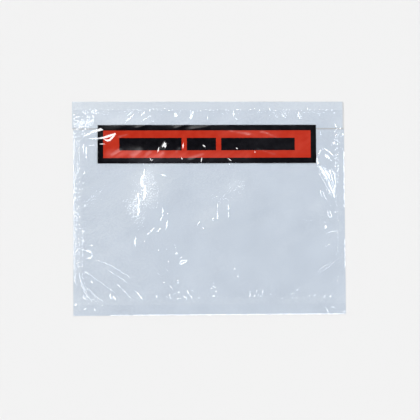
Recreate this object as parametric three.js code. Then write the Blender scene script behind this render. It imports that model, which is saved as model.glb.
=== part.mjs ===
// A packing list envelope lying flat on its back. A clear front film is sealed round the rim to a back film,
// the back is slit across near the top to take the folded papers, and a peel-off liner covers its adhesive.
// Millimetres: X runs across, Y towards the top edge and Z up from the surface that the liner lies on.
import * as THREE from "three";

// Pouch and its layers
const pouchWidth = 177.8;
const pouchHeight = 139.7;
const linerThickness = 0.08;
const backThickness = 0.07; // back film with its adhesive coat
const filmThickness = 0.05;
const inkThickness = 0.02;

// Sealed rim, from each edge inwards
const sealLeft = 6;
const sealRight = 5;
const sealTop = 5;
const sealBottom = 10;

// Loading slit across the back, which leaves a strip above it that has slid a little to the left
const slitFromTop = 17.9;
const slitGap = 0.4;
const stripShift = 0.8;

// Printed panel on the front: a red field in a black border, with plain black bars across its middle
const panelFromTop = 15.4;
const panelFromLeft = 15.9;
const panelFromRight = 18.6;
const panelHeight = 25.2;
const borderWidth = 3.6;
const barHeight = 8.2;
const barFromBorder = 10.5;
const barGap = 3.4;
const barShares = [0.376, 0.177, 0.447]; // each bar's part of the printed length

// Slack front film: how far it stands clear of the back, and how far in from the rim it gets there
const swellRise = 0.6;
const swellReach = 16;
const foldHalfWidth = 7;
const facetStep = 5; // widest facet of the film

// Folds in the front film: both ends as parts of the pocket's width and height, and the height in millimetres
const folds = [
  { from: [0.0, 0.86], to: [0.13, 0.87], rise: 0.9 }, // over the panel's left end
  { from: [0.0, 0.85], to: [0.09, 0.9], rise: 0.6 },
  { from: [0.92, 0.75], to: [1.0, 0.5], rise: 1.0 }, // crumpled right side
  { from: [0.94, 0.78], to: [1.0, 0.72], rise: 0.6 },
  { from: [0.03, 0.22], to: [0.19, 0.12], rise: 0.7 }, // drawn to the lower left corner
  { from: [0.0, 0.15], to: [0.2, 0.0], rise: 0.6 },
  { from: [0.0, 0.08], to: [0.07, 0.0], rise: 0.5 },
  { from: [0.24, 0.68], to: [0.21, 0.42], rise: 0.6 }, // soft swell under the panel
  { from: [0.29, 0.78], to: [0.34, 0.86], rise: 0.5 },
  { from: [0.17, 0.93], to: [0.2, 1.0], rise: 0.5 }, // puckers along the top seal
  { from: [0.42, 0.94], to: [0.44, 1.0], rise: 0.5 },
  { from: [0.86, 0.94], to: [0.84, 1.0], rise: 0.5 },
  { from: [0.31, 0.49], to: [0.33, 0.36], rise: 0.4 },
];

// The strip that has slid out is part of the overall width, so the pouch sits half of that to the right.
const left = stripShift / 2 - pouchWidth / 2;
const right = left + pouchWidth;
const bottom = -pouchHeight / 2;
const top = pouchHeight / 2;
const slitMiddle = top - slitFromTop;
const backLow = linerThickness;
const backHigh = backLow + backThickness;

const box = (x0, x1, y0, y1) => ({ x0, x1, y0, y1 });
const inside = ({ x0, x1, y0, y1 }, x, y) => x > x0 && x < x1 && y > y0 && y < y1;
const inset = ({ x0, x1, y0, y1 }, d) => box(x0 + d, x1 - d, y0 + d, y1 - d);

const pouch = box(left, right, bottom, top);
const pocket = box(left + sealLeft, right - sealRight, bottom + sealBottom, top - sealTop);
const panelTop = top - panelFromTop;
const panel = box(left + panelFromLeft, right - panelFromRight, panelTop - panelHeight, panelTop);
const field = inset(panel, borderWidth);
const bars = barBoxes();

// The bars share the length between the margins, in one row at mid height of the panel.
function barBoxes() {
  const middle = (panel.y0 + panel.y1) / 2;
  const printed = field.x1 - field.x0 - 2 * barFromBorder - (barShares.length - 1) * barGap;
  let start = field.x0 + barFromBorder;
  return barShares.map((share) => {
    const bar = box(start, start + share * printed, middle - barHeight / 2, middle + barHeight / 2);
    start = bar.x1 + barGap;
    return bar;
  });
}

// Height of the slack film above the back: nothing on the sealed rim, then a low swell with folds on it.
function slack(x, y) {
  const u = (x - pocket.x0) / (pocket.x1 - pocket.x0);
  const v = (y - pocket.y0) / (pocket.y1 - pocket.y0);
  if (u <= 0 || u >= 1 || v <= 0 || v >= 1) return 0;
  const rim = Math.min(x - pocket.x0, pocket.x1 - x, y - pocket.y0, pocket.y1 - y);
  const swell = swellRise * THREE.MathUtils.smoothstep(rim, 0, swellReach);
  return swell + Math.max(...folds.map((fold) => foldHeight(fold, x, y)));
}

// A fold is a ridge along its line, rounded at the foot.
function foldHeight({ from, to, rise }, x, y) {
  const place = ([u, v]) =>
    new THREE.Vector3(
      THREE.MathUtils.lerp(pocket.x0, pocket.x1, u),
      THREE.MathUtils.lerp(pocket.y0, pocket.y1, v),
      0,
    );
  const point = new THREE.Vector3(x, y, 0);
  const line = new THREE.Line3(place(from), place(to));
  const nearest = line.closestPointToPoint(point, true, new THREE.Vector3());
  const away = point.distanceTo(nearest) / foldHalfWidth;
  return rise * Math.max(0, 1 - away) ** 2;
}

const filmLow = (x, y) => backHigh + slack(x, y);
const filmHigh = (x, y) => filmLow(x, y) + filmThickness;
const redHigh = (x, y) => filmHigh(x, y) + inkThickness;
const blackHigh = (x, y) => redHigh(x, y) + inkThickness;

// Grid lines stand on every edge of the film and its print, so that each layer shares the facets below it.
function gridLines(edges) {
  const sorted = [...new Set(edges)].sort((a, b) => a - b);
  const lines = [sorted[0]];
  sorted.slice(1).forEach((edge, i) => {
    const parts = Math.ceil((edge - sorted[i]) / facetStep);
    for (let k = 1; k <= parts; k++) lines.push(THREE.MathUtils.lerp(sorted[i], edge, k / parts));
  });
  return lines;
}

const outlines = [pouch, pocket, panel, field, ...bars];
const gridX = gridLines(outlines.flatMap(({ x0, x1 }) => [x0, x1]));
const gridY = gridLines(outlines.flatMap(({ y0, y1 }) => [y0, y1]));

// A closed layer over every grid cell whose middle is covered, between a lower and an upper surface.
function layerGeometry(covers, lowAt, highAt) {
  const points = [];
  const faces = [];
  for (const x of gridX) {
    for (const y of gridY) points.push(x, y, lowAt(x, y), x, y, highAt(x, y));
  }
  const low = (i, j) => 2 * (i * gridY.length + j);
  const high = (i, j) => low(i, j) + 1;
  const filled = (i, j) => {
    if (i < 0 || j < 0 || i >= gridX.length - 1 || j >= gridY.length - 1) return false;
    return covers((gridX[i] + gridX[i + 1]) / 2, (gridY[j] + gridY[j + 1]) / 2);
  };
  const quad = (a, b, c, d) => faces.push(a, b, c, a, c, d);
  const wall = (i0, j0, i1, j1) => quad(low(i0, j0), low(i1, j1), high(i1, j1), high(i0, j0));
  for (let i = 0; i < gridX.length - 1; i++) {
    for (let j = 0; j < gridY.length - 1; j++) {
      if (!filled(i, j)) continue;
      quad(high(i, j), high(i + 1, j), high(i + 1, j + 1), high(i, j + 1));
      faces.push(low(i, j), low(i + 1, j + 1), low(i + 1, j));
      faces.push(low(i, j), low(i, j + 1), low(i + 1, j + 1));
      if (!filled(i, j - 1)) wall(i, j, i + 1, j);
      if (!filled(i + 1, j)) wall(i + 1, j, i + 1, j + 1);
      if (!filled(i, j + 1)) wall(i + 1, j + 1, i, j + 1);
      if (!filled(i - 1, j)) wall(i, j + 1, i, j);
    }
  }
  const geometry = new THREE.BufferGeometry();
  geometry.setAttribute("position", new THREE.Float32BufferAttribute(points, 3));
  geometry.setIndex(faces);
  geometry.computeVertexNormals();
  return geometry;
}

const clearFilm = new THREE.MeshStandardMaterial({
  color: 0xeef4fb,
  roughness: 0.15,
  metalness: 0,
  transparent: true,
  opacity: 0.35,
});
const adhesiveFilm = new THREE.MeshStandardMaterial({ color: 0xd6dfea, roughness: 0.35, metalness: 0 });
const linerPaper = new THREE.MeshStandardMaterial({ color: 0xcfd8e3, roughness: 0.6, metalness: 0 });
const redInk = new THREE.MeshStandardMaterial({ color: 0xc2331f, roughness: 0.3, metalness: 0 });
const blackInk = new THREE.MeshStandardMaterial({ color: 0x121013, roughness: 0.3, metalness: 0 });

const group = new THREE.Group();

function add(name, geometry, material) {
  const mesh = new THREE.Mesh(geometry, material);
  mesh.name = name;
  group.add(mesh);
  return mesh;
}

// A flat sheet of the back, which lies still under the slack front.
function addFlat(name, { x0, x1, y0, y1 }, low, high, material) {
  const sheet = add(name, new THREE.BoxGeometry(x1 - x0, y1 - y0, high - low), material);
  sheet.position.set((x0 + x1) / 2, (y0 + y1) / 2, (low + high) / 2);
}

// Back film and liner, both cut through by the slit
const lowerBack = box(left, right, bottom, slitMiddle - slitGap / 2);
const upperBack = box(left - stripShift, right - stripShift, slitMiddle + slitGap / 2, top);
addFlat("lower_liner", lowerBack, 0, linerThickness, linerPaper);
addFlat("upper_liner", upperBack, 0, linerThickness, linerPaper);
addFlat("lower_back_film", lowerBack, backLow, backHigh, adhesiveFilm);
addFlat("upper_back_film", upperBack, backLow, backHigh, adhesiveFilm);

// Front film and the print on it
const onBorder = (x, y) => inside(panel, x, y) && !inside(field, x, y);
add("front_film", layerGeometry((x, y) => inside(pouch, x, y), filmLow, filmHigh), clearFilm);
add("red_field", layerGeometry((x, y) => inside(panel, x, y), filmHigh, redHigh), redInk);
add("black_border", layerGeometry(onBorder, redHigh, blackHigh), blackInk);
bars.forEach((bar, i) => {
  const geometry = layerGeometry((x, y) => inside(bar, x, y), redHigh, blackHigh);
  add(`black_bar_${i + 1}`, geometry, blackInk);
});

export default group;
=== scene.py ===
import math
import bmesh
import bpy
import numpy as np
from mathutils import Matrix, Quaternion, Vector
from mathutils.geometry import delaunay_2d_cdt
from mathutils.kdtree import KDTree


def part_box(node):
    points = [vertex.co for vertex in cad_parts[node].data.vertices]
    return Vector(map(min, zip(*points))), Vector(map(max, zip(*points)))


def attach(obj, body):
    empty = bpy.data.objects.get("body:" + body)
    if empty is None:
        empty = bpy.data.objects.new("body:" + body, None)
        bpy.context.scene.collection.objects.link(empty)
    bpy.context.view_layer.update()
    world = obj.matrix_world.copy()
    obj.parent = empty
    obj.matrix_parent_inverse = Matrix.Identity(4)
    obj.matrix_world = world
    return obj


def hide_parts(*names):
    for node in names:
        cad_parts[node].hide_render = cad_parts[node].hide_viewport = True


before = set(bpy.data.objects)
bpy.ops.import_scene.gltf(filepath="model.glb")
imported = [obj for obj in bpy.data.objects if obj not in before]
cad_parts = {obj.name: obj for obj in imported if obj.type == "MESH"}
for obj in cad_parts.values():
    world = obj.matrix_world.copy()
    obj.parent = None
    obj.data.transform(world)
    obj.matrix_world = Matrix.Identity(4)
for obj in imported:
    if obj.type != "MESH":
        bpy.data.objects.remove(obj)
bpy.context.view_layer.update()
mm = 0.001


def nodeSpan(name):  # left, right, bottom and top of a CAD node, in mm
    low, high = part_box(name)
    return low.x / mm, high.x / mm, low.y / mm, high.y / mm


filmSpan = nodeSpan("front_film")
panelSpan = nodeSpan("red_field")
barSpans = [nodeSpan(f"black_bar_{i}") for i in (1, 2, 3)]
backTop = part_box("lower_back_film")[1].z / mm
slitY = (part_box("lower_back_film")[1].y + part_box("upper_back_film")[0].y) / 2 / mm

# the set: softboxes in a ring round the envelope, a soft glow overhead, and the camera
stage = {
    "floorSize": 6, "floorTone": 0.72, "floorRough": 0.9, "floorDrop": 0.00003,
    "boxCount": 8, "boxZenith": 32, "boxTurn": 10, "boxDistance": 4,  # angles in degrees
    "boxSize": (1.69, 0.56), "boxPower": 24.7,
    "glowZenith": 25, "glowTurn": 104, "glowSpread": (16, 5), "glow": 0.8,
    "horizon": 0.8, "zenith": 0.018, "zenithFrom": 0.8,  # light of the sky, and where it stops falling
}
camera = {
    "place": (-0.0292, -0.0351, 0.7625), "target": (0.00064, -0.00137, 0), "roll": -0.325, "lens": 100,
}

# the slack front film: sizes in mm, places from the middle of the film
film = {
    "step": 1.5,  # spacing of its vertices away from creases
    "clear": 0.32,  # how near a loose vertex may come to a crease
    "lookUp": 0.2,  # spacing at which creases are looked up for that
    "stray": 0.2,  # share of the spacing that a loose vertex lies off its grid
    "weld": 0.01,  # vertices closer than this become one
    "smoothAngle": 9,  # degrees, below which facets are shaded as one surface
    "thickness": 0.05,
    "lift": 0.03,  # bond line between front and back film
    "sealLeft": 6, "sealRight": 5, "sealTop": 5, "sealBottom": 10,
    "sealFade": 1.5, "looseFade": 2,  # lengths over which crinkles and folds fade at the pocket's rim
    "swell": 0.6, "swellReach": 14,
    "waveCount": 14, "waveRise": 0.1, "waveLength": (16, 34), "seed": 11,
    "crinkleRise": 0.02, "crinkleLength": (1.6, 3.4), "crinkleCount": 16,
    "foldEnds": 4,  # a soft fold runs out over one part in so many of its length
    "patchCount": 24,  # waves in a crumpled patch
    "slopeProbe": 0.3,  # reach over which the soft film's slope is taken
    "leastFlank": 0.08, "leastSlope": 0.1,  # no crease is flatter
    "taper": 1.8, "taperPower": 0.6,  # how a crease runs out at its ends
    "dash": (3.0, 6.0), "dashFrom": 6,  # a crease longer than that swells and thins at about this spacing
    "dashWidth": (0.78, 0.3, 0.25),  # mean width of a dashed crease, its swing and its least width
    "station": 1.2,  # spacing of vertices along a crease
    "flapBack": 3,  # how much steeper a flap is behind its bright flank
    "flapLeast": 0.6,  # the share of its slope that a flap keeps where it climbs
    "strokeScale": 0.62, "speckScale": 0.62, "speckSides": 8, "speckReach": 1.6,
    "rowStray": 0.4, "rowSizes": (0.7, 1.4),  # how uneven the rows of puckers are
    "cloudStep": 0.5, "cloudSizes": (0.5, 1.5), "cloudTail": 1.5, "cloudSpan": (-88, 88, -69, 69),
    "beadStep": 3.0,
}

# soft folds: height, half width and line
softFolds = [
    (0.2, 1.4, (-61, 44.8), (-51, 48)),
    (0.34, 1.7, (-66, 32), (-56, 38)),
    (0.24, 2.3, (-52, 31), (-42.4, 37.6)),
    (0.24, 2.2, (-44, 30.6), (-36, 36.6)),
    (0.1, 1.1, (-50, 51.4), (-36, 56.6)),
    (0.12, 1.1, (-24, 51.4), (-11, 56.6)),
    (0.1, 1.1, (-14, 51.4), (2, 53.4)),
    (0.24, 1.9, (-33, 30.6), (-28.4, 36.4)),
    (0.22, 1.8, (-22.4, 33.6), (-17.6, 39.6)),
    (0.32, 1.4, (11, 50), (31, 46.4)),
    (0.3, 1.4, (32, 50), (49, 43.4)),
    (0.28, 1.3, (29, 38.6), (46, 32.8)),
    (0.26, 1.9, (-16, 29.6), (0, 35)),
    (0.3, 6.0, (-40, 27), (-43, 14), (-46, 2), (-49, -9)),
    (0.3, 3.0, (-82, -41), (-66, -50), (-52, -60)),
    (0.12, 2.4, (-80, 3), (-70, 11)),
    (0.35, 2.6, (10, 10), (22, 17)),
    (0.3, 2.4, (-7, -13), (0, -5)),
    (0.3, 2.4, (84, -16), (73, -26)),
]

# crumpled patches: height, range of wave lengths, reach and line
patches = [
    (0.015, (1.6, 3.0), 4.5, (-41, 25), (-44, 14), (-46, 2), (-48.5, -9)),
    (0.02, (1.6, 3.0), 5.0, (-36, 19), (-39, 4)),
    (0.02, (2.4, 4.5), 4.5, (73, 34), (78, 21), (82.5, 5)),
    (0.04, (2.0, 4.0), 3.2, (-84, 53), (-76, 58)),
    (0.04, (2.0, 4.0), 3.0, (-83, -48), (-81, -58), (-76, -62)),
    (0.02, (1.4, 3.0), 1.6, (-87.2, 64), (-87.2, -48)),
]

# flaps: side of the bright flank along the line (1 left, -1 right), then places and the flank's width there
flaps = [
    (-1, (-79.4, 45.6, 0.3), (-73, 46, 0.7), (-69.2, 46.7, 1.2), (-65.6, 48, 1.5), (-61, 49.3, 0.7)),
    (1, (-69.4, 45.3, 0.6), (-67, 43.7, 1.1), (-64.8, 44, 1.3), (-62.8, 46.2, 1.2), (-60.8, 48.8, 0.6)),
    (1, (-83.2, 46.7, 0.35), (-78.5, 48.4, 0.8), (-74.4, 49.8, 1.6), (-69.2, 51.2, 1.6)),
    (1, (71.6, 27.4, 1.5), (73.2, 25, 1.0), (74.4, 23, 1.6), (75.8, 20.6, 0.8), (77.2, 18.2, 1.2)),
    (1, (77.8, 17.2, 0.6), (79.6, 12.6, 0.9), (80.8, 9.8, 0.5), (82.4, 5.8, 0.7)),
    (1, (74.8, 26.8, 1.5), (76, 24.6, 0.8), (77.4, 22, 1.5), (78.6, 19.6, 0.6), (79.8, 17, 1.1)),
    (1, (80.2, 16, 0.5), (81.4, 12, 0.7), (82.4, 8.4, 0.4)),
    (1, (77.8, 26.2, 1.0), (79, 23.8, 1.4), (80, 21.4, 0.6), (81, 18.2, 1.0), (82.4, 11.4, 0.3)),
    (1, (80.4, 25.6, 0.9), (81.4, 23.2, 1.1), (82.2, 20.4, 0.5), (82.7, 17, 0.6), (82.9, 13.6, 0.3)),
    (1, (71, 34.8, 0.5), (70.5, 31, 1.1), (71.2, 27.6, 1.0)),
    (1, (75.2, 35.3, 0.6), (77.6, 33, 1.5), (80.6, 30.8, 0.7)),
    (-1, (-32, 38.3, 1.8), (-30.5, 41.3, 2.4), (-28.9, 44.2, 1.9)),
    (1, (-42.8, 26, 0.5), (-43.3, 22.6, 1.4), (-45.2, 19.4, 2.1), (-45.1, 16.2, 1.7), (-44, 12.4, 2.2)),
    (1, (-43.3, 14.4, 1.5), (-43, 9.8, 1.7), (-43.4, 5, 0.8)),
    (
        1, (-47.4, 10.8, 1.5), (-46.9, 7.2, 0.7), (-46.6, 4.6, 1.1),
        (-46.5, 2, 0.6), (-47, -1.4, 1.4), (-47.4, -5.8, 0.6),
    ),
]

# fine creases, which catch the light as short bright strokes: half width and line
strokes = [
    (0.5, (-55, 56.2), (-49, 61.7)),  # under the top seal
    (0.45, (-53.5, 60.5), (-50, 63.5)),
    (0.9, (-44.6, 60.6), (-41.4, 63.7)),
    (0.35, (-45, 56.5), (-38, 61)),
    (2.0, (-22.4, 59.6), (-20.2, 62.8)),
    (0.5, (-18.9, 63), (-18.2, 64.9)),
    (1.4, (-12.6, 58), (-11.6, 60.6), (-10, 64)),
    (0.8, (-2.2, 60), (-0.7, 58.6)),
    (0.8, (16.3, 64.8), (16, 60)),
    (0.35, (16.4, 60), (19, 57)),
    (0.45, (43.4, 60.4), (45.2, 59.3)),
    (0.5, (47.4, 62.6), (50.1, 58.8)),
    (0.45, (48.4, 64.2), (50.8, 60.8)),
    (0.55, (57.4, 62.2), (60.7, 57.8)),
    (0.45, (58, 63.7), (61.6, 58.3)),
    (0.5, (71.5, 63.2), (72.4, 60.5), (74.1, 61.6)),
    (0.9, (-85, 54.6), (-80, 55.6), (-75.2, 58.1)),  # left end of the panel
    (0.6, (-84.6, 53.2), (-81, 54.6)),
    (0.4, (-82, 51.1), (-83.6, 50)),
    (0.4, (-72, 42), (-68, 42)),
    (0.2, (-80, 41), (-74, 41.5)),
    (0.42, (-80.3, 40.6), (-80.5, 34.8)),
    (0.42, (-82.3, 42.4), (-82.3, 35)),
    (0.6, (-33.9, 36.2), (-33.3, 38.4), (-32.9, 40.2)),  # over the panel
    (0.6, (-17.4, 38.8), (-17, 42.8)),
    (0.7, (-4.4, 41.4), (-2.6, 39.8)),
    (0.6, (17.4, 39.6), (18.6, 38.4)),
    (0.6, (-39, 32.8), (-38, 30.8), (-36.8, 31.9)),
    (0.6, (-18.4, 33.4), (-17.7, 31.6)),
    (0.5, (-5, 33.2), (-5.5, 29.8)),
    (0.4, (12, 32.6), (14.6, 30.6)),
    (0.55, (82.4, 55.7), (83.2, 54), (84.1, 52.6)),  # right side
    (0.5, (82.8, 47), (84.6, 48.6)),
    (1.1, (81.8, 44), (82.2, 41)),
    (0.35, (73, 50.2), (73.8, 46.8)),
    (0.7, (71.8, 34.4), (73, 37.5), (76, 38.6), (79, 36.6), (82.2, 33.8)),
    (0.35, (71.6, 23), (76, 15.4), (80.6, 7)),
    (0.32, (72.4, 12.2), (74.2, 5.8)),
    (0.36, (73.4, 11.6), (77.2, 4.6)),
    (0.5, (77.3, -1.4), (77.8, -4.5), (78.6, -7), (79.6, -7.2), (80, -5), (78.6, -1.6)),
    (0.9, (75.9, -11.2), (75.8, -14)),
    (0.2, (83.5, -15.3), (79, -16), (76, -18)),
    (0.15, (80, -23), (78, -24.5), (73, -26)),
    (0.6, (82.2, -35.5), (79.8, -36.6)),
    (0.18, (80, -36.6), (75, -38.5), (71, -41)),
    (0.16, (80, -38.2), (70, -43)),
    (0.75, (-82.2, 22.2), (-80.9, 24.2)),  # left side
    (0.3, (-72, 10), (-69.8, 12.2)),
    (0.7, (-78.7, -23.8), (-75.8, -24.6)),
    (0.75, (-81.6, -27.3), (-78.5, -27.8), (-76.6, -29.8)),
    (0.75, (-76.5, -30), (-76.7, -31.6), (-78, -32.5), (-81.2, -32.6)),
    (0.2, (-74, -33.5), (-65, -37), (-60, -40), (-51.4, -45.3)),
    (0.17, (-67, -40.3), (-60, -44), (-52.8, -49.4)),
    (0.13, (-82, -41), (-79, -43), (-70, -49), (-62, -55)),
    (0.45, (-60.6, -49.4), (-57.8, -52.2)),
    (0.2, (-57.8, -52.2), (-51, -59)),
    (0.5, (-77.6, -46.9), (-75.9, -48.6)),
    (0.26, (-86, -33), (-85, -44), (-84, -48), (-81, -51.6)),
    (0.6, (-82.2, -50.8), (-81.8, -53.4)),
    (0.3, (-82, -54), (-78, -60)),
    (0.6, (-83, -57.4), (-80.6, -59.2)),
    (0.17, (-83, -49.3), (-80, -55), (-77, -60.3)),
    (0.15, (-79.2, -51.5), (-73.7, -59.1)),
    (0.2, (-77, -54.8), (-72, -59), (-67.8, -61.4)),
    (0.6, (-64.9, -54.9), (-65, -57.6), (-63.6, -59.4)),
    (0.55, (-63.6, -56.6), (-61.2, -59.8)),
    (0.65, (-48.4, -53.8), (-46, -57), (-43.8, -59.5)),
    (0.6, (-82.4, -65.6), (-80.2, -65.1)),
    (0.5, (-75.3, -64.8), (-74.9, -66.8)),
    (0.9, (-31.8, 22.1), (-28.2, 20.9)),  # middle of the pocket
    (0.6, (-34.8, 13.6), (-33.8, 12.2)),
    (0.55, (-30.7, 0.6), (-30.8, -4.5), (-32.4, -8.8)),
    (0.55, (-27.8, -7.6), (-28.2, -12.8), (-29.1, -15.2)),
    (0.75, (-35.7, -12.6), (-40.8, -17.3)),
    (0.55, (-31.2, -12.8), (-34.6, -15.5)),
    (0.65, (-47.9, -18.6), (-49, -21.8), (-48.2, -25.4)),
    (0.4, (5, 3.4), (5, -0.6)),
    (0.5, (5, -1.8), (5, -8)),
    (0.45, (12.4, 2.4), (12.3, -2)),
    (0.45, (12.3, -2.4), (12.2, -6.8)),
    (0.6, (1.6, -8.2), (2.7, -6.1)),
    (0.3, (-6.2, -8), (-8.5, -12)),
    (0.5, (-20, -32.6), (-18, -32.1)),
    (0.5, (-20.2, -36.5), (-18.5, -34.3), (-16.5, -34.2), (-14.8, -33.3)),
    (0.5, (-14.8, -34), (-16, -35.5), (-19.8, -36.9)),
    (0.5, (-34.3, -42.4), (-32.8, -43.6)),
    (0.5, (-35.2, -56.6), (-34.2, -58.8)),  # along the bottom seal
    (0.4, (-26.2, -50.2), (-24.3, -53.3)),
    (0.5, (-15.2, -53.6), (-13.8, -56.3)),
    (0.5, (-13.7, -56.3), (-11.3, -59.2)),
    (0.7, (-17.8, -57.2), (-15.2, -59)),
    (0.5, (25.6, -54.2), (26.4, -56.6), (25.4, -59)),
    (0.35, (34.6, -53), (33.8, -56.6)),
    (0.14, (52, -57.5), (59, -52.5)),
    (0.2, (67.4, -58.8), (69.2, -57)),
    (0.45, (74.4, -58.6), (75.6, -57.6)),
    (0.35, (75.4, -65.3), (77.6, -68.7)),
    (0.45, (79.3, -64.9), (82.2, -66.1)),
    (0.15, (-80.4, 2.2), (-73.7, 3.9), (-69.8, 6.5)),  # faint lines on the left
    (0.13, (-77.6, 6.5), (-73.7, 8.5), (-72, 9.8)),
    (0.4, (-82, -40.6), (-78.6, -43)),
]

# small bumps that show as bright specks: place and radius
specks = [
    (-81, 62, 1.1), (-78.5, 63.5, 0.6), (-80.3, 64.2, 0.7), (-76.5, 64, 0.7), (-68.5, 64.4, 0.6),
    (-55.2, 63, 0.6), (-53, 64.5, 0.5), (-49.8, 64.3, 0.5), (-46, 64, 0.7), (-39, 64, 0.8),
    (-36.5, 64.3, 0.5), (-34, 64.3, 0.5), (-31, 64.3, 0.5), (-38, 57.2, 0.5), (-36.8, 57.2, 0.5),
    (-2, 64.3, 0.5), (0.6, 64.3, 0.7), (11.2, 64.3, 0.6), (19, 64.3, 0.7), (29, 64.8, 0.5),
    (40.3, 64, 0.5), (39.5, 61, 0.5), (42.2, 62.7, 0.8), (50.8, 64.4, 0.5), (61.2, 64.3, 0.6),
    (70, 64, 0.6), (73, 64.2, 0.5), (75, 64.3, 0.5), (77.8, 64.3, 0.7), (81, 64.3, 0.6),
    (82.5, 62.3, 0.7), (-77.5, 57.5, 0.9), (-83, 48.5, 0.6), (29.8, 36.5, 0.6), (13, 28.5, 0.5),
    (86.5, 52.3, 0.8), (83, 51, 0.6), (88, 48, 0.8), (-80.3, 33.3, 0.9), (-82.2, 16.4, 0.6),
    (-83, 13, 0.5), (-81.3, 1.8, 1.15), (-82.4, -14.8, 1.4), (-82.4, -21.3, 1.3),
    (-82.7, -26.8, 0.9), (-82.7, -30, 0.9), (-81.8, -42.5, 0.6), (-82.6, -45.6, 0.9),
    (-79.5, -52.5, 0.6), (-73, -59, 0.6), (-87.3, -62.5, 1.0), (-27.5, -3.7, 0.7),
    (-42.7, -21.7, 0.6), (-23, -24.5, 0.6), (-22.2, -25.8, 0.5), (-33.7, -27.5, 0.6),
    (-28.4, -26.8, 0.5), (-21.8, -29.8, 1.0), (-4.3, -13.2, 0.6), (-19, -32.3, 0.7),
    (-27, -34.8, 0.5), (-28, -40.6, 0.6), (-30, -48.6, 0.5), (-21.2, -47.3, 0.5),
    (-21.2, -48.7, 0.6), (-20.5, -54.8, 0.9), (-23, -55.8, 0.6), (-26.3, -56.7, 0.8),
    (-26, -58.3, 0.6), (-21, -59, 0.7), (-11.6, -54, 0.5), (16, -39.8, 0.6), (18, -44.7, 0.9),
    (2.2, -48.8, 0.6), (2.2, -50.8, 0.7), (0.8, -52.6, 0.6), (3.5, -52, 0.5), (4.1, -54.3, 0.7),
    (2.2, -57.5, 0.9), (29, -57.5, 0.9), (30.5, -54.3, 0.7), (33, -57.8, 0.6), (54, -59, 0.5),
    (78.7, -58.2, 0.7), (79.5, 1.3, 0.7), (82.5, -3.2, 0.8), (75.8, -9.7, 0.6), (72.5, -7.8, 0.6),
    (84, -45.5, 0.6), (83.5, -48, 0.6), (87.4, -68.4, 0.9),
]

# rows of small puckers along the sealed rim: from, to, spacing, stray and radius
puckerRows = [
    ((-88, 62), (-88, -47), 1.5, 0.25, 0.8),
    ((-86.6, 62), (-86.6, -40), 2.4, 0.5, 0.6),
    ((-85.2, 60), (-85, -40), 2.6, 0.25, 0.5),
    ((-83, -13), (-83, -46), 1.9, 0.2, 0.45),
    ((83, 46), (83, 3), 1.3, 0.2, 0.36),
    ((84.5, 48), (84.5, 16), 1.5, 0.3, 0.36),
    ((84, 2), (84, -34), 2.6, 0.3, 0.42),
    ((-66, 64.4), (82, 64.4), 3.0, 0.4, 0.55),
    ((-60, -58.4), (80, -58.4), 7.5, 1.2, 0.3),
]

# clouds of them, close together along a line: count, reach, radius and line
speckClouds = [
    (340, 4.2, 0.3, (-39.6, 18), (-39, 5)),
    (300, 3.2, 0.31, (-49.4, 6), (-48.8, -5)),
    (200, 4.4, 0.3, (-42, 23), (-45, 3), (-47, -9)),
    (60, 1.6, 0.36, (-43, 21), (-43, 8), (-46, 6), (-46.4, -6)),
    (34, 1.2, 0.5, (-82, 62.6), (-72, 63.6)),
    (150, 3.2, 0.5, (-87, 53.4), (-77, 57.2)),
    (120, 2.6, 0.34, (73, 28), (78, 20), (82, 8)),
    (30, 2.6, 0.34, (84.4, 54), (85.4, 38)),
    (56, 3.6, 0.3, (12, 12.5), (22, 14.5)),
    (30, 2.8, 0.3, (2, 8.5), (9, 6.5)),
    (50, 2.2, 0.33, (-83, -48), (-81, -58), (-72, -62)),
    (70, 1.3, 0.42, (-86.8, 62), (-86.6, -46)),
]

# beads along the cut edge and crinkles in the side seal: half width, stray, from and to
edgeBeads = [
    (0.34, 0.0, (-88.6, 51), (-88.6, -42)),
    (0.34, 0.0, (-66, -69.6), (88.4, -69.6)),
    (0.3, 0.0, (88.6, 38), (88.6, 0)),
    (0.3, 0.0, (88.6, -20), (88.6, -40)),
    (0.34, 0.35, (-87.9, 40), (-87.7, -50)),
]

# grainy glare on the film: strength, reach and line
glares = [
    (0.6, 4.6, (-41, 23), (-44, 14), (-46, 2), (-48.5, -8)),
    (0.5, 7.0, (-38, 21), (-41, 2)),
    (0.28, 1.5, (-86.9, 64), (-86.9, -46)),
    (0.16, 4.5, (-86, 58), (-77, 55)),
    (0.2, 4.0, (72, 34), (78, 20), (82.5, 5)),
    (0.5, 4.0, (13, 13), (22, 14)),
    (0.45, 3.5, (3, 8), (9, 6)),
    (0.45, 3.5, (64, -8), (68, -8)),
    (0.35, 2.0, (-80, 63), (82, 63)),
    (0.15, 3.5, (-82, -46), (-78, -60)),
    (0.35, 6.0, (-80, 5), (-66, 13)),
]

# painted sheen over the print, standing in for the film's hazy reflection: strength, reach and line
paintedInkSheens = [
    (0.75, 2.8, (-65, 35), (-52, 35.4)),
    (1.0, 4.0, (-48, 33), (-32, 33.4)),
    (0.55, 4.0, (-28, 33), (-16, 33)),
    (0.32, 4.0, (-14, 33), (24, 33.6)),
    (0.2, 4.0, (10, 50), (46, 47)),
    (0.12, 9.0, (30, 42), (66, 42)),
]

panel = {"border": 3.6, "ink": 0.03, "gap": 0.008}

filmLeft, filmRight, filmBottom, filmTop = filmSpan
pocket = (
    filmLeft + film["sealLeft"],
    filmRight - film["sealRight"],
    filmBottom + film["sealBottom"],
    filmTop - film["sealTop"],
)
middleX = (filmLeft + filmRight) / 2  # all places above are from the middle of the film


def smooth(t):
    t = np.clip(t, 0, 1)
    return t * t * (3 - 2 * t)


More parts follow.
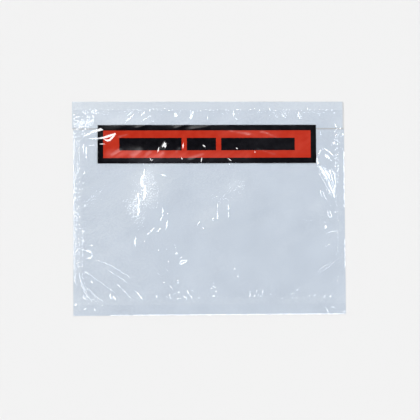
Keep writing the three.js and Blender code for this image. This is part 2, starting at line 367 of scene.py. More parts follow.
def flankSlope(x, y, towardX, towardY):  # slope at which a flank facing that way mirrors a softbox
    zenith = math.radians(stage["boxZenith"])
    reach = stage["boxDistance"] * math.sin(zenith)
    height = stage["boxDistance"] * math.cos(zenith)
    lamp = np.array([towardX * reach - x * mm, towardY * reach - y * mm, 0 * x + height])
    eyeX, eyeY, eyeZ = camera["place"]
    eye = np.array([eyeX - x * mm, eyeY - y * mm, 0 * x + eyeZ])
    half = lamp / np.linalg.norm(lamp, axis=0) + eye / np.linalg.norm(eye, axis=0)
    return np.maximum((half[0] * towardX + half[1] * towardY) / half[2], film["leastFlank"])


def pathDistance(x, y, path):  # nearest distance to a line, how far along it in points, and the side
    nearest = np.full(x.shape, 1e9)
    along = np.zeros(x.shape)
    side = np.ones(x.shape)
    for number, ((ax, ay), (bx, by)) in enumerate(zip(path, path[1:])):
        span = math.dist((ax, ay), (bx, by))
        t = np.clip(((x - ax) * (bx - ax) + (y - ay) * (by - ay)) / span**2, 0, 1)
        d = np.hypot(x - ax - t * (bx - ax), y - ay - t * (by - ay))
        closer = d < nearest
        nearest[closer] = d[closer]
        along[closer] = number + t[closer]
        side[closer] = np.sign((bx - ax) * (y - ay) - (by - ay) * (x - ax))[closer]
    return nearest, along, side


def waves(x, y, count, lengths, seed):  # a sum of plane waves in seeded directions
    draw = np.random.default_rng(seed)
    total = np.zeros(x.shape)
    for _ in range(count):
        turn, phase = draw.uniform(0, math.tau, 2)
        length = draw.uniform(*lengths)
        total += np.sin(math.tau * (x * math.cos(turn) + y * math.sin(turn)) / length + phase)
    return total / math.sqrt(count)


def softHeight(x, y):  # the film without its sharp creases, above the back film
    left, right, bottom, top = pocket
    rim = np.minimum(np.minimum(x - left, right - x), np.minimum(y - bottom, top - y))
    slack = smooth(rim / film["swellReach"])
    z = film["swell"] * slack
    z = z + film["waveRise"] * slack * waves(x, y, film["waveCount"], film["waveLength"], film["seed"])
    sealed = 1 - smooth(rim / film["sealFade"] + 1)
    crinkle = waves(x, y, film["crinkleCount"], film["crinkleLength"], film["seed"] + 1)
    z = z + film["crinkleRise"] * sealed * (1 + crinkle)
    loose = smooth(rim / film["looseFade"] + 0.5)
    for rise, width, *path in softFolds:
        d, along = pathDistance(x, y, centred(path))[:2]
        share = along / (len(path) - 1)
        ends = smooth(np.minimum(share, 1 - share) * film["foldEnds"])
        z = z + rise * loose * np.exp(-((d / width) ** 2)) * ends
    for number, (rise, lengths, reach, *path) in enumerate(patches):
        d = pathDistance(x, y, centred(path))[0]
        crumple = waves(x, y, film["patchCount"], lengths, film["seed"] + 30 + number)
        z = z + rise * np.exp(-((d / reach) ** 2)) * crumple
    return np.maximum(z, 0)


def softSlope(x, y, towardX, towardY):  # rise of that soft film towards a direction
    probe = film["slopeProbe"]
    ahead = softHeight(x + probe * towardX, y + probe * towardY)
    behind = softHeight(x - probe * towardX, y - probe * towardY)
    return (ahead - behind) / (2 * probe)


def brightSlope(x, y, towardX, towardY):  # slope that a crease has to add for its flank to be bright
    slope = flankSlope(x, y, towardX, towardY) + softSlope(x, y, towardX, towardY)
    return np.maximum(slope, film["leastSlope"])


def withStations(path, spacing):  # the same line with points at an even spacing
    found = [path[0]]
    for start, end in zip(path, path[1:]):
        count = max(round(math.dist(start[:2], end[:2]) / spacing), 1)
        found += [tuple(a + (b - a) * k / count for a, b in zip(start, end)) for k in range(1, count + 1)]
    return found


def makeCrease(bright, path, seed):  # crest, height, slopes and feet at each station of a crease
    length = sum(math.dist(a[:2], b[:2]) for a, b in zip(path, path[1:]))
    stations = np.array(withStations(path, min(film["station"], length / 4)))
    crest, width = stations[:, :2], stations[:, 2]
    done = np.append(0, np.cumsum(np.hypot(*np.diff(crest, axis=0).T)))
    ahead = np.gradient(crest, axis=0)
    ahead /= np.hypot(*ahead.T)[:, None]
    across = np.stack([-ahead[:, 1], ahead[:, 0]])
    left = brightSlope(*crest.T, *across)
    right = brightSlope(*crest.T, *-across)
    draw = np.random.default_rng(seed)
    spacing, phase = draw.uniform(*film["dash"]), draw.uniform(0, 6)
    fromEnd = np.minimum(done, length - done) / min(film["taper"], length / 2)
    width = width * np.clip(fromEnd, 0, 1) ** film["taperPower"]
    if length > film["dashFrom"] and bright == 0:
        mean, swing, least = film["dashWidth"]
        wobble = np.sin(math.tau * done / spacing + phase) + np.sin(math.tau * done / spacing / 1.7)
        width *= np.clip(mean + swing * wobble, least, 1)
    if bright == 0:
        height = width * (left + right) / 2
    else:
        lit = left if bright == 1 else right
        height = width * lit
        climb = np.gradient(height, done)
        lit = np.sqrt(np.maximum(lit**2 - climb**2, (film["flapLeast"] * lit) ** 2))
        rear = lit * film["flapBack"]
        left, right = (lit, rear) if bright == 1 else (rear, lit)
    return {
        "bright": bright, "crest": crest, "height": height, "left": left, "right": right,
        "leftFoot": crest + (across * height / left).T,
        "rightFoot": crest - (across * height / right).T,
    }


def makeSpecks(places):  # small pyramids with many sides
    sides = film["speckSides"]
    px, py, radius = (np.repeat(np.array(column)[:, None], sides, axis=1) for column in zip(*places))
    turn = np.arange(sides) * math.tau / sides + 0 * px
    slope = brightSlope(px, py, np.cos(turn), np.sin(turn))
    height = radius * slope.mean(axis=1)[:, None]
    reach = np.minimum(height / slope, radius * film["speckReach"])
    feet = np.stack([px + reach * np.cos(turn), py + reach * np.sin(turn)], axis=2)
    return [
        {"top": (px[k, 0], py[k, 0]), "height": height[k, 0], "reach": reach[k], "feet": feet[k]}
        for k in range(len(places))
    ]


def straying(start, end, spacing, stray, seed):  # points along a line, each a little off it
    draw = np.random.default_rng(seed)
    count = max(int(math.dist(start, end) / spacing), 1)
    uneven = draw.uniform(-film["rowStray"], film["rowStray"], count + 1) * (stray > 0)
    along = np.linspace(0, 1, count + 1) + uneven / count
    across = draw.normal(0, stray, count + 1)
    (ax, ay), (bx, by) = start, end
    turn = math.atan2(by - ay, bx - ax)
    return [
        (ax + (bx - ax) * t - c * math.sin(turn), ay + (by - ay) * t + c * math.cos(turn))
        for t, c in zip(np.clip(along, 0, 1), across)
    ]


def centred(path):  # places were read from the middle of the film
    return [(px + middleX, *rest) for px, *rest in path]


def allCreases():
    found = [(side, path) for side, *path in flaps]
    lines = [(width, path) for width, *path in strokes]
    for number, (width, stray, start, end) in enumerate(edgeBeads):
        lines.append((width, straying(start, end, film["beadStep"], stray, film["seed"] + number)))
    found += [(0, [(*place, width * film["strokeScale"]) for place in path]) for width, path in lines]
    return [makeCrease(side, centred(path), film["seed"] + 50 + k) for k, (side, path) in enumerate(found)]


def allSpecks():
    found = list(specks)
    for number, (start, end, spacing, stray, radius) in enumerate(puckerRows):
        draw = np.random.default_rng(film["seed"] + number)
        for px, py in straying(start, end, spacing, stray, film["seed"] + 20 + number):
            found.append((px, py, radius * draw.uniform(*film["rowSizes"])))
    for number, (count, reach, radius, *path) in enumerate(speckClouds):
        draw = np.random.default_rng(film["seed"] + 40 + number)
        line = np.array(withStations(path, film["cloudStep"]))
        places = line[draw.integers(0, len(line), count)]
        for px, py in places + draw.normal(0, reach / film["cloudTail"], (count, 2)):
            if inside(film["cloudSpan"], px, py):
                found.append((px, py, radius * draw.uniform(*film["cloudSizes"])))
    return makeSpecks([(px + middleX, py, radius * film["speckScale"]) for px, py, radius in found])


def creaseHeight(x, y):  # how far the sharp creases stand above the soft film
    height = np.zeros(x.shape)
    for crease in creases:
        crest, stations = crease["crest"], np.arange(len(crease["crest"]))
        corners = np.concatenate([crease["leftFoot"], crest, crease["rightFoot"]])
        near = (x >= corners[:, 0].min()) & (x <= corners[:, 0].max())
        near &= (y >= corners[:, 1].min()) & (y <= corners[:, 1].max())
        d, along, side = pathDistance(x[near], y[near], crest)
        slopes = [np.interp(along, stations, crease[flank]) for flank in ("left", "right")]
        rise = np.interp(along, stations, crease["height"]) - np.where(side > 0, *slopes) * d
        height[near] = np.maximum(height[near], rise)
    sides = film["speckSides"]
    for speck in bumps:
        px, py = speck["top"]
        d = np.hypot(x - px, y - py)
        near = d < speck["reach"].max()
        turn = np.arctan2(y[near] - py, x[near] - px) / math.tau * sides % sides
        edge = np.interp(turn, np.arange(sides + 1), np.append(speck["reach"], speck["reach"][0]))
        height[near] = np.maximum(height[near], speck["height"] * (1 - d[near] / edge))
    return height


def flapCover(x, y):  # 1 on the bright flanks of the flaps, fading to 0 beside them
    cover = np.zeros(x.shape)
    for crease in creases:
        if crease["bright"]:
            foot = crease["leftFoot" if crease["bright"] == 1 else "rightFoot"]
            d, along = pathDistance(x, y, (crease["crest"] + foot) / 2)[:2]
            half = np.hypot(*(crease["crest"] - foot).T) / 2
            cover = np.maximum(cover, 1 - smooth(d - np.interp(along, np.arange(len(half)), half)))
    return cover


def strongest(strips, x, y):  # the strongest of several strips with soft edges
    amount = np.zeros(x.shape)
    for strength, reach, *path in strips:
        d = pathDistance(x, y, centred(path))[0]
        amount = np.maximum(amount, strength * np.exp(-((d / reach) ** 2)))
    return amount


def filmHeight(x, y):  # underside of the front film above the floor, in mm
    return backTop + film["lift"] + softHeight(x, y) + creaseHeight(x, y)


def deselectAll():
    if bpy.context.mode != "OBJECT":
        bpy.ops.object.mode_set(mode="OBJECT")
    bpy.ops.object.select_all(action="DESELECT")


def activate(piece):
    deselectAll()
    piece.select_set(True)
    bpy.context.view_layer.objects.active = piece


def vertexPlaces(piece):  # every vertex, in mm
    places = np.empty(len(piece.data.vertices) * 3)
    piece.data.vertices.foreach_get("co", places)
    return places.reshape(-1, 3) / mm


def faceMiddles(piece):
    middles = np.empty(len(piece.data.polygons) * 3)
    piece.data.polygons.foreach_get("center", middles)
    middles = middles.reshape(-1, 3) / mm
    return middles[:, 0], middles[:, 1]


def placeVertices(piece, places):
    piece.data.vertices.foreach_set("co", (places * mm).ravel())
    piece.data.update()


def selectFaces(piece, chosen):  # leaves the piece in edit mode with those faces selected
    activate(piece)
    bpy.context.tool_settings.mesh_select_mode = (False, False, True)
    bpy.ops.object.mode_set(mode="EDIT")
    bpy.ops.mesh.select_all(action="DESELECT")
    bpy.ops.object.mode_set(mode="OBJECT")
    piece.data.polygons.foreach_set("select", chosen)
    bpy.ops.object.mode_set(mode="EDIT")


def inside(span, x, y):
    return (x > span[0]) & (x < span[1]) & (y > span[2]) & (y < span[3])


def addModifier(piece, kind, **settings):
    activate(piece)
    made = piece.modifiers.new(kind.lower(), kind)
    for key, value in settings.items():
        setattr(made, key, value)
    bpy.ops.object.modifier_apply(modifier=made.name)


def thicken(piece, thickness):  # gives a surface its thickness upwards, with a crisp rim
    addModifier(piece, "SOLIDIFY", thickness=thickness * mm, offset=1)
    activate(piece)
    bpy.ops.object.shade_smooth_by_angle(angle=math.radians(film["smoothAngle"]))


class FilmPlan:  # points and lines that the film's facets have to follow
    def __init__(self):
        self.points = []
        self.lines = []

    def addLine(self, path, closed=False):
        first = len(self.points)
        for px, py in path:  # nothing reaches past the cut edges
            self.points.append((min(max(px, filmLeft), filmRight), min(max(py, filmBottom), filmTop)))
        last = len(self.points) - 1
        self.lines += [(k, k + 1) for k in range(first, last)]
        if closed:
            self.lines.append((last, first))

    def addBox(self, span, spacing):
        left, right, bottom, top = span
        corners = [(left, bottom), (right, bottom), (right, top), (left, top), (left, bottom)]
        self.addLine(withStations(corners, spacing)[:-1], closed=True)

    def tree(self, spacing):  # all lines as close points, for looking up distances
        found = []
        for a, b in self.lines:
            if self.points[a] != self.points[b]:
                found += withStations([self.points[a], self.points[b]], spacing)
        made = KDTree(len(found))
        for number, (px, py) in enumerate(found):
            made.insert((px, py, 0), number)
        made.balance()
        return made


def looseGrid(spacing, reach, path):  # points at about that spacing round a line, a little off a grid
    draw = np.random.default_rng(film["seed"])
    low, high = np.min(path, axis=0) - reach, np.max(path, axis=0) + reach
    x, y = np.meshgrid(np.arange(low[0], high[0], spacing), np.arange(low[1], high[1], spacing))
    x = x + draw.uniform(-film["stray"], film["stray"], x.shape) * spacing
    y = y + draw.uniform(-film["stray"], film["stray"], y.shape) * spacing
    kept = inside((filmLeft, filmRight, filmBottom, filmTop), x, y)
    return x[kept], y[kept]


# vertices per half width of a fold or per wave of a patch, and how far round it they go
zoneSteps = {"fold": (2.2, 1.9), "widest": 3, "patch": (2.9, 1.3), "farthest": 20}


def loosePoints(near):  # the film's other vertices, closer together where it is crumpled or folded
    corners = [(filmLeft, filmBottom), (filmRight, filmTop)]
    zones = [(film["step"], math.inf, corners)]
    parts, cover = zoneSteps["fold"]
    for rise, width, *path in softFolds:
        if width < zoneSteps["widest"]:
            zones.append((width / parts, width * cover, centred(path)))
    parts, cover = zoneSteps["patch"]
    zones += [(lengths[0] / parts, reach * cover, centred(path)) for rise, lengths, reach, *path in patches]
    zones.sort(key=lambda zone: -zone[0])
    found = []
    for number, (spacing, reach, path) in enumerate(zones):
        x, y = looseGrid(spacing, min(reach, zoneSteps["farthest"]), path)
        keep = pathDistance(x, y, path)[0] < reach
        for finer in zones[number + 1:]:
            keep &= pathDistance(x, y, finer[2])[0] > finer[1]
        found += [p for p in zip(x[keep], y[keep]) if near.find((*p, 0))[2] > film["clear"]]
    return found


def makeFilmSkin():  # one surface with all the folds in it, which the film and the print are taken from
    plan = FilmPlan()
    plan.addBox(filmSpan, film["step"])
    plan.addBox(pocket, film["step"])
    for span in [panelSpan, fieldSpan] + barSpans:
        plan.addBox(span, film["step"])
    for crease in creases:
        for line in ("leftFoot", "crest", "rightFoot"):
            plan.addLine(crease[line])
    for speck in bumps:
        plan.addLine(speck["feet"], closed=True)
        plan.points.append(speck["top"])
    plan.points += loosePoints(plan.tree(film["lookUp"]))
    points = [Vector(p) for p in plan.points]
    places, _, faces = delaunay_2d_cdt(points, plan.lines, [], 0, film["weld"])[:3]
    shape = bmesh.new()
    x, y = np.array(places).T
    z = filmHeight(x, y)
    vertices = [shape.verts.new((px * mm, py * mm, pz * mm)) for px, py, pz in zip(x, y, z)]
    for face in faces:
        shape.faces.new([vertices[k] for k in face])
    mesh = bpy.data.meshes.new("clearFrontFilm")
    shape.to_mesh(mesh)
    shape.free()
    grainy = strongest(glares, x, y) * (1 - flapCover(x, y))
    for name, amount in (("glare", grainy), ("hazeAndSheen", strongest(paintedInkSheens, x, y))):
        mesh.attributes.new(name, "FLOAT", "POINT").data.foreach_set("value", amount)
    skin = bpy.data.objects.new("clearFrontFilm", mesh)
    bpy.context.collection.objects.link(skin)
    return skin


def takePrint(skin, name, chosen, rise):  # copies chosen faces of the film as an ink layer above it
    selectFaces(skin, chosen)
    bpy.ops.mesh.duplicate()
    bpy.ops.mesh.separate(type="SELECTED")
    bpy.ops.object.mode_set(mode="OBJECT")
    layer = [o for o in bpy.context.selected_objects if o != skin][0]
    layer.name = name
    layer.data.name = name
    places = vertexPlaces(layer)
    places[:, 2] += rise
    placeVertices(layer, places)
    thicken(layer, panel["ink"])
    return layer


border = panel["border"]
fieldSpan = (
    panelSpan[0] + border, panelSpan[1] - border, panelSpan[2] + border, panelSpan[3] - border,
)
creases = allCreases()
bumps = allSpecks()
print("creases:", len(creases), "specks:", len(bumps))
skin = makeFilmSkin()
print("film surface:", len(skin.data.vertices), "vertices")

firstLayer = film["thickness"] + panel["gap"]
secondLayer = firstLayer + panel["ink"] + panel["gap"]
x, y = faceMiddles(skin)
inks = {"redField": takePrint(skin, "redField", inside(panelSpan, x, y), firstLayer)}
x, y = faceMiddles(skin)
inks["blackBorder"] = takePrint(
    skin, "blackBorder", inside(panelSpan, x, y) & ~inside(fieldSpan, x, y), secondLayer
)
for number, span in enumerate(barSpans, 1):
    x, y = faceMiddles(skin)
    inks[f"blackBar{number}"] = takePrint(skin, f"blackBar{number}", inside(span, x, y), secondLayer)
thicken(skin, film["thickness"])
skin.data.calc_loop_triangles()
print("film triangles:", len(skin.data.loop_triangles))
print("print layers:", ", ".join(inks))


def newMaterial(name):
    made = bpy.data.materials.new(name)
    made.use_nodes = True
    return made, made.node_tree.nodes, made.node_tree.links, made.node_tree.nodes["Principled BSDF"]


def noiseOf(nodes, links, scale, detail=2.0):
    coords = nodes.new("ShaderNodeTexCoord")
    made = nodes.new("ShaderNodeTexNoise")
    made.inputs["Scale"].default_value = scale
    made.inputs["Detail"].default_value = detail
    links.new(coords.outputs["Object"], made.inputs["Vector"])
    return made


def streaksOf(nodes, links, along, across, turn):  # noise as streaks: waves per metre and direction
    coords = nodes.new("ShaderNodeTexCoord")
    stretch = nodes.new("ShaderNodeMapping")
    stretch.vector_type = "TEXTURE"
    stretch.inputs["Rotation"].default_value[2] = math.radians(turn)
    stretch.inputs["Scale"].default_value = (1 / along, 1 / across, 1)
    links.new(coords.outputs["Object"], stretch.inputs["Vector"])
    made = nodes.new("ShaderNodeTexNoise")
    made.inputs["Scale"].default_value = 1
    made.inputs["Detail"].default_value = 3
    links.new(stretch.outputs["Vector"], made.inputs["Vector"])
    return made


noiseRange = (0.3, 0.7)  # where most of a noise lies


def rampOf(nodes, links, source, low, high):  # maps a noise onto a range of numbers
    made = nodes.new("ShaderNodeMapRange")
    made.inputs["From Min"].default_value, made.inputs["From Max"].default_value = noiseRange
    made.inputs["To Min"].default_value = low
    made.inputs["To Max"].default_value = high
    links.new(source, made.inputs["Value"])
    return made.outputs["Result"]


def bumpOf(nodes, links, shader, source, distance):
    made = nodes.new("ShaderNodeBump")
    made.inputs["Strength"].default_value = 1
    made.inputs["Distance"].default_value = distance * mm
    links.new(source, made.inputs["Height"])
    links.new(made.outputs["Normal"], shader.inputs["Normal"])


def mixColour(nodes, links, factor, first, second):
    made = nodes.new("ShaderNodeMix")
    made.data_type = "RGBA"
    links.new(factor, made.inputs["Factor"])
    for socket, value in (("A", first), ("B", second)):
        place = [s for s in made.inputs if s.name == socket and s.type == "RGBA"][0]
        if isinstance(value, tuple):
            place.default_value = (*value, 1)
        else:
            links.new(value, place)
    return [s for s in made.outputs if s.type == "RGBA"][0]


clearFilmLook = {
    "tint": (0.97, 0.985, 1.0), "ior": 1.58,
    "rough": (0.03, 0.07), "roughScale": 90,
    "grain": 1300, "grainDepth": (0.012, 0.25),
}


def filmGrain(nodes, links, shader):  # fine bumps, which stand up where the film glares
    glare = nodes.new("ShaderNodeAttribute")
    glare.attribute_name = "glare"
    depth = nodes.new("ShaderNodeMapRange")
    depth.inputs["To Min"].default_value, depth.inputs["To Max"].default_value = clearFilmLook["grainDepth"]
    links.new(glare.outputs["Fac"], depth.inputs["Value"])
    grain = noiseOf(nodes, links, clearFilmLook["grain"])
    height = nodes.new("ShaderNodeMath")
    height.operation = "MULTIPLY"
    links.new(grain.outputs["Fac"], height.inputs[0])
    links.new(depth.outputs["Result"], height.inputs[1])
    bumpOf(nodes, links, shader, height.outputs["Value"], 1)


def clearFilmMaterial():
    made, nodes, links, shader = newMaterial("clearFilm")
    shader.inputs["Base Color"].default_value = (*clearFilmLook["tint"], 1)
    shader.inputs["Transmission Weight"].default_value = 1
    shader.inputs["IOR"].default_value = clearFilmLook["ior"]
    patchy = noiseOf(nodes, links, clearFilmLook["roughScale"])
    rough = rampOf(nodes, links, patchy.outputs["Fac"], *clearFilmLook["rough"])
    links.new(rough, shader.inputs["Roughness"])
    filmGrain(nodes, links, shader)
    return made


inkLook = {
    # two tones of each ink, and its tone under painted sheen
    "red": ((0.45, 0.0225, 0.0085), (0.5, 0.031, 0.0115), (0.68, 0.108, 0.083)),
    "black": ((0.0007, 0.0006, 0.0018), (0.002, 0.0018, 0.0042), (0.036, 0.036, 0.043)),
    "mottle": 260, "rough": (0.12, 0.2),
    "streaks": (40, 330, 35), "streakShare": (0.45, 1.3),  # the painted sheen comes in streaks
    "coatIor": 1.9, "coatRough": 0.06,
}


def inkMaterial(name, colours):
    made, nodes, links, shader = newMaterial(name)
    mottle = noiseOf(nodes, links, inkLook["mottle"], 3)
    colour = mixColour(nodes, links, rampOf(nodes, links, mottle.outputs["Fac"], 0, 1), *colours[:2])
    # painted sheen on the ink: a pale tone mixed into its colour in streaks
    hazeAndSheen = nodes.new("ShaderNodeAttribute")
    hazeAndSheen.attribute_name = "hazeAndSheen"
    streaks = streaksOf(nodes, links, *inkLook["streaks"])
    share = nodes.new("ShaderNodeMath")
    share.operation = "MULTIPLY"
    links.new(hazeAndSheen.outputs["Fac"], share.inputs[0])
    links.new(rampOf(nodes, links, streaks.outputs["Fac"], *inkLook["streakShare"]), share.inputs[1])
    withPaintedSheen = mixColour(nodes, links, share.outputs["Value"], colour, colours[2])
    links.new(withPaintedSheen, shader.inputs["Base Color"])
    rough = rampOf(nodes, links, mottle.outputs["Fac"], *inkLook["rough"])
    links.new(rough, shader.inputs["Roughness"])
    shader.inputs["Coat Weight"].default_value = 1
    shader.inputs["Coat Roughness"].default_value = inkLook["coatRough"]
    shader.inputs["Coat IOR"].default_value = inkLook["coatIor"]
    filmGrain(nodes, links, shader)
    return made


backLook = {
    "pale": (0.634, 0.699, 0.787), "deep": (0.567, 0.631, 0.72), "rough": 0.45,
    "clouds": 45, "cloudDepth": 0.02,
    # painted shadow along the cut in the back film: its dark tone, half width in mm, and how far out it
    # fades as a multiple of that
    "slit": (0.04, 0.045, 0.06), "slitHalf": 0.27, "slitFade": 1.5,
    "hazeAndSheen": (0.82, 0.87, 0.92),  # pale tone it turns towards: partly the sealed film's own tone, partly painted sheen
    "bare": (0.54, 0.59, 0.65), "bareFade": 0.1,  # the strip that has slid out from under the film
    "bands": [  # axis, where it starts and is full, and share of the pale tone: lighter towards the left and the top, seals partly their own tone and partly painted glints of their crinkles, darker along the bottom edge
        ("X", -20, -72, 0.2), ("X", -82.6, -83.4, 0.12), ("Y", 40, 62, 0.15), ("Y", 64.2, 64.6, 0.3),
        ("Y", -56, -60, 0.12), ("Y", -62.6, -63.2, -0.2), ("X", 83.2, 84, 0.06),
    ],
    "spots": [  # place, reach and share of the pale tone: patches of painted sheen, and two darker patches
        (-38, 20, 26, 0.42), (-44, 7, 14, 0.2), (-55, 2, 17, 0.14), (-2, -8, 15, 0.32), (17, 15, 13, 0.16),
        (72, -3, 11, 0.18), (4, 18, 44, 0.14), (-80, -46, 14, -0.14), (72, -36, 24, -0.2),
    ],
    "mottle": 900, "mottleShare": 0.26,
    "sheen": (22, 170, 27), "sheenShare": 0.1,  # faint streaks of painted sheen
}


def addUp(nodes, links, values):
    total = values[0]
    for value in values[1:]:
        made = nodes.new("ShaderNodeMath")
        links.new(total, made.inputs[0])
        links.new(value, made.inputs[1])
        total = made.outputs["Value"]
    return total


def backMaterial():
    made, nodes, links, shader = newMaterial("adhesiveBackFilm")
    clouds = noiseOf(nodes, links, backLook["clouds"], 4)
    body = mixColour(
        nodes, links, rampOf(nodes, links, clouds.outputs["Fac"], 0, 1), backLook["pale"], backLook["deep"]
    )
    coords = nodes.new("ShaderNodeTexCoord")
    axes = nodes.new("ShaderNodeSeparateXYZ")
    links.new(coords.outputs["Object"], axes.inputs["Vector"])
    mottle = noiseOf(nodes, links, backLook["mottle"], 4)
    sheen = streaksOf(nodes, links, *backLook["sheen"])
    shares = []
    for noise, share in ((mottle, backLook["mottleShare"]), (sheen, backLook["sheenShare"])):
        shares.append(rampOf(nodes, links, noise.outputs["Fac"], -share, share))
    for axis, start, full, share in backLook["bands"]:
        band = nodes.new("ShaderNodeMapRange")
        band.interpolation_type = "SMOOTHSTEP"
        band.inputs["From Min"].default_value = start * mm
        band.inputs["From Max"].default_value = full * mm
        band.inputs["To Max"].default_value = share
        links.new(axes.outputs[axis], band.inputs["Value"])
        shares.append(band.outputs["Result"])
    for px, py, reach, share in backLook["spots"]:
        away = nodes.new("ShaderNodeVectorMath")
        away.operation = "DISTANCE"
        away.inputs[1].default_value = ((px + middleX) * mm, py * mm, 0)
        links.new(coords.outputs["Object"], away.inputs[0])
        spot = nodes.new("ShaderNodeMapRange")
        spot.interpolation_type = "SMOOTHSTEP"
        spot.inputs["From Max"].default_value = reach * mm
        spot.inputs["To Min"].default_value = share
        spot.inputs["To Max"].default_value = 0
        links.new(away.outputs["Value"], spot.inputs["Value"])
        shares.append(spot.outputs["Result"])
    # mixes in the pale tone: partly the sealed film's own, partly painted sheen
    body = mixColour(nodes, links, addUp(nodes, links, shares), body, backLook["hazeAndSheen"])
    bare = nodes.new("ShaderNodeMapRange")
    bare.inputs["From Min"].default_value = filmLeft * mm
    bare.inputs["From Max"].default_value = (filmLeft - backLook["bareFade"]) * mm
    links.new(axes.outputs["X"], bare.inputs["Value"])
    body = mixColour(nodes, links, bare.outputs["Result"], body, backLook["bare"])
    # painted shadow along the cut in the back film, beside the gap there
    fromSlit = nodes.new("ShaderNodeMath")
    fromSlit.operation = "SUBTRACT"
    fromSlit.inputs[1].default_value = slitY * mm
    links.new(axes.outputs["Y"], fromSlit.inputs[0])
    distance = nodes.new("ShaderNodeMath")
    distance.operation = "ABSOLUTE"
    links.new(fromSlit.outputs["Value"], distance.inputs[0])
    edge = nodes.new("ShaderNodeMapRange")
    edge.inputs["From Min"].default_value = backLook["slitHalf"] * mm
    edge.inputs["From Max"].default_value = backLook["slitHalf"] * mm * backLook["slitFade"]
    edge.inputs["To Min"].default_value = 1
    edge.inputs["To Max"].default_value = 0
    links.new(distance.outputs["Value"], edge.inputs["Value"])
    body = mixColour(nodes, links, edge.outputs["Result"], body, backLook["slit"])
    links.new(body, shader.inputs["Base Color"])
    shader.inputs["Roughness"].default_value = backLook["rough"]
    bumpOf(nodes, links, shader, clouds.outputs["Fac"], backLook["cloudDepth"])
    return made


linerLook = {
    "tones": ((0.66, 0.71, 0.78), (0.62, 0.67, 0.74)), "rough": 0.55,
    "fibre": 900, "fibreDepth": 0.01,
}


def linerMaterial():
    made, nodes, links, shader = newMaterial("releaseLiner")
    fibre = noiseOf(nodes, links, linerLook["fibre"], 5)
    share = rampOf(nodes, links, fibre.outputs["Fac"], 0, 1)
    links.new(mixColour(nodes, links, share, *linerLook["tones"]), shader.inputs["Base Color"])
    shader.inputs["Roughness"].default_value = linerLook["rough"]
    bumpOf(nodes, links, shader, fibre.outputs["Fac"], linerLook["fibreDepth"])
    return made


def wear(piece, material):
    piece.data.materials.clear()
    piece.data.materials.append(material)


wear(skin, clearFilmMaterial())
skin.visible_shadow = False
blackInk = inkMaterial("blackInk", inkLook["black"])
for name, layer in inks.items():
    wear(layer, inkMaterial("redInk", inkLook["red"]) if name == "redField" else blackInk)
backFilm = backMaterial()
liner = linerMaterial()
for name in ("lower_back_film", "upper_back_film"):
    wear(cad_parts[name], backFilm)
for name in ("lower_liner", "upper_liner"):
    wear(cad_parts[name], liner)
print("materials done")

replaced = {"redField": "red_field", "blackBorder": "black_border"}
replaced.update({f"blackBar{i}": f"black_bar_{i}" for i in (1, 2, 3)})
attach(skin, "root")
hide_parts("front_film")
for name, layer in inks.items():
    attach(layer, "root")
    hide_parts(replaced[name])


def makeFloor():
    deselectAll()
    bpy.ops.mesh.primitive_plane_add(size=stage["floorSize"], location=(0, 0, -stage["floorDrop"]))
    floor = bpy.context.active_object
    floor.name = "paleFloor"
    bpy.ops.object.transform_apply(location=True, rotation=True, scale=True)
    made, nodes, links, shader = newMaterial("paleFloor")
    shader.inputs["Base Color"].default_value = (*[stage["floorTone"]] * 3, 1)
    shader.inputs["Roughness"].default_value = stage["floorRough"]
    shader.inputs["Specular IOR Level"].default_value = 0
    wear(floor, made)


def makeSoftbox(name, zenith, turn, distance, size, power):
    tilt, around = math.radians(zenith), math.radians(turn)
    away = Vector((math.sin(tilt) * math.cos(around), math.sin(tilt) * math.sin(around), math.cos(tilt)))
    deselectAll()
    bpy.ops.object.light_add(type="AREA", location=away * distance)
    lamp = bpy.context.active_object
    lamp.name = name
    lamp.rotation_mode = "QUATERNION"
    lamp.rotation_quaternion = away.to_track_quat("Z", "Y")
    lamp.data.shape = "RECTANGLE"
    lamp.data.size, lamp.data.size_y = size
    lamp.data.energy = power


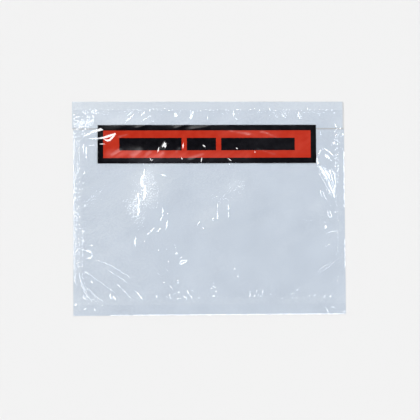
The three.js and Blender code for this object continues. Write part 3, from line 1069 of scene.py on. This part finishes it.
def makeWorld():
    world = bpy.data.worlds.new("studio")
    bpy.context.scene.world = world
    world.use_nodes = True
    nodes, links = world.node_tree.nodes, world.node_tree.links
    coords = nodes.new("ShaderNodeTexCoord")
    axes = nodes.new("ShaderNodeSeparateXYZ")
    links.new(coords.outputs["Generated"], axes.inputs["Vector"])
    fall = nodes.new("ShaderNodeMapRange")
    fall.inputs["From Min"].default_value = 0
    fall.inputs["From Max"].default_value = stage["zenithFrom"]
    fall.inputs["To Min"].default_value = stage["horizon"]
    fall.inputs["To Max"].default_value = stage["zenith"]
    links.new(axes.outputs["Z"], fall.inputs["Value"])
    tilt, around = math.radians(stage["glowZenith"]), math.radians(stage["glowTurn"])
    toward = nodes.new("ShaderNodeVectorMath")
    toward.operation = "DOT_PRODUCT"
    toward.inputs[1].default_value = (
        math.sin(tilt) * math.cos(around), math.sin(tilt) * math.sin(around), math.cos(tilt)
    )
    links.new(coords.outputs["Generated"], toward.inputs[0])
    glow = nodes.new("ShaderNodeMapRange")
    glow.interpolation_type = "SMOOTHSTEP"
    glow.inputs["From Min"].default_value = math.cos(math.radians(stage["glowSpread"][0]))
    glow.inputs["From Max"].default_value = math.cos(math.radians(stage["glowSpread"][1]))
    glow.inputs["To Max"].default_value = stage["glow"]
    links.new(toward.outputs["Value"], glow.inputs["Value"])
    both = nodes.new("ShaderNodeMath")
    links.new(fall.outputs["Result"], both.inputs[0])
    links.new(glow.outputs["Result"], both.inputs[1])
    links.new(both.outputs["Value"], nodes["Background"].inputs["Strength"])
    nodes["Background"].inputs["Color"].default_value = (1, 1, 1, 1)


def makeCamera():
    place, target = Vector(camera["place"]), Vector(camera["target"])
    deselectAll()
    bpy.ops.object.camera_add(location=place)
    eye = bpy.context.active_object
    eye.data.lens = camera["lens"]
    eye.data.dof.use_dof = False
    eye.rotation_mode = "QUATERNION"
    ahead = (target - place).normalized()
    right = ahead.cross(Vector((0, 1, 0))).normalized()
    facing = Matrix((right, right.cross(ahead), -ahead)).transposed().to_quaternion()
    eye.rotation_quaternion = facing @ Quaternion((0, 0, 1), math.radians(camera["roll"]))
    bpy.context.scene.camera = eye


makeFloor()
for number in range(stage["boxCount"]):
    makeSoftbox(
        f"softbox{number + 1}", stage["boxZenith"], stage["boxTurn"] + number * 360 / stage["boxCount"],
        stage["boxDistance"], stage["boxSize"], stage["boxPower"],
    )
makeWorld()
makeCamera()
scene = bpy.context.scene
scene.view_settings.view_transform = "Standard"
scene.cycles.caustics_reflective = False
scene.cycles.caustics_refractive = False
print("stage done")

deselectAll()
